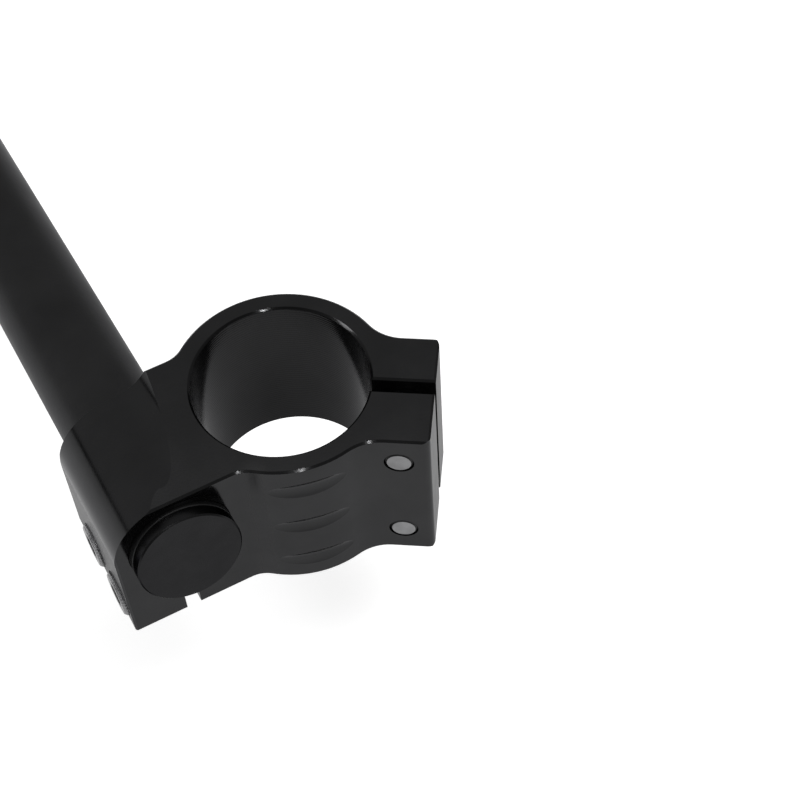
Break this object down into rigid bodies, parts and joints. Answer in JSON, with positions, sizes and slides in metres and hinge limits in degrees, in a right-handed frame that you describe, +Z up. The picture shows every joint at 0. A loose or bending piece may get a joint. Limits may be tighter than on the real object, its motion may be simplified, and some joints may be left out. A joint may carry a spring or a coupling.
{
  "type": "clip-on handlebar",
  "caption": "Left clip-on handlebar: black machined fork clamp with a slit socket that carries a drooping satin black bar.",
  "frame": {"origin": "on the axis of the fork tube, halfway up the clamp", "axes": "+Z up along the fork tube, +X to the pinch ears, +Y to the heads of the fork bolts; the bar runs to -X +Y and droops"},
  "size_m": [0.2072, 0.2461, 0.0701],
  "materials": {
    "clamp": "black anodised, semi-gloss",
    "bar": "satin black",
    "plug": "fine turned black",
    "fork_bolt": "dull zinc",
    "bar_bolt": "bright zinc"
  },
  "bodies": {
    "root": {"clamp_body": "clamp", "handlebar_tube": "bar", "inner_end_plug": "plug", "fork_pinch_bolts": "fork_bolt", "bar_pinch_bolts": "bar_bolt"}
  },
  "joints": []
}
